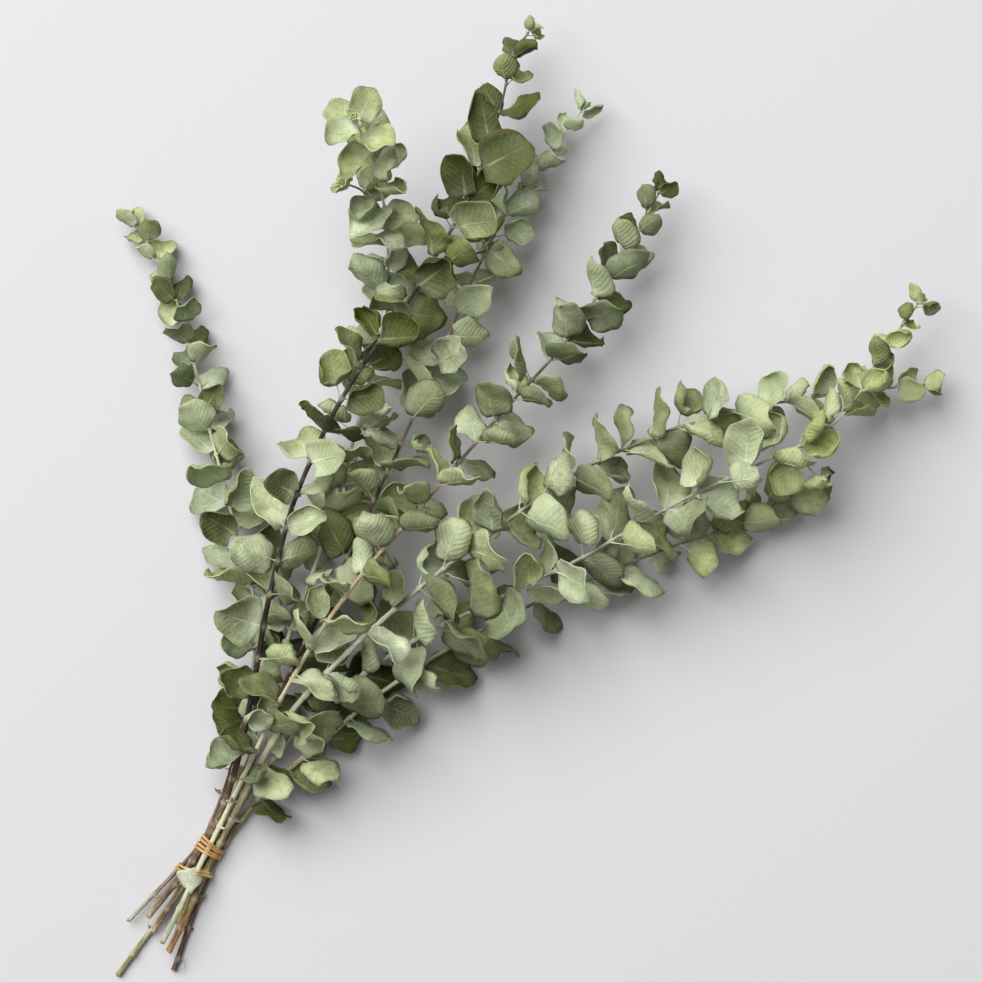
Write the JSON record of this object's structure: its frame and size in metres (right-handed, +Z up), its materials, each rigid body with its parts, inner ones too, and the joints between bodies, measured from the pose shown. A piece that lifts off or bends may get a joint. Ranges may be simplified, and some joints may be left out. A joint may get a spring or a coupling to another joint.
{
  "type": "bunch of dried eucalyptus",
  "caption": "Long dried eucalyptus shoots with round leaves in crossed pairs, tied near their cut ends with an elastic band, lying flat in a loose fan.",
  "frame": {"origin": "middle of the elastic band's flat underside, on the surface that the bunch lies on", "axes": "+Z up from the surface; the bunch lies along it and spreads from the band towards +Y and +X, with its cut ends towards -X and -Y"},
  "size_m": [0.458, 0.5297, 0.121],
  "materials": {
    "leaf": "dry, matt leaf with a waxy bloom",
    "leaf_pale": "dry, matt leaf with a heavy pale bloom",
    "leaf_dark": "dry, slightly waxy dark olive leaf",
    "band": "matt natural rubber"
  },
  "bodies": {
    "root": {"leafy_stem_1": "leaf", "leafy_stem_2": "leaf_pale", "leafy_stem_3": "leaf_dark", "leafy_stem_4": "leaf", "leafy_stem_5": "leaf", "leafy_stem_6": "leaf", "leafy_stem_7": "leaf_pale", "leafy_stem_8": "leaf", "elastic_band": "band"}
  },
  "joints": []
}
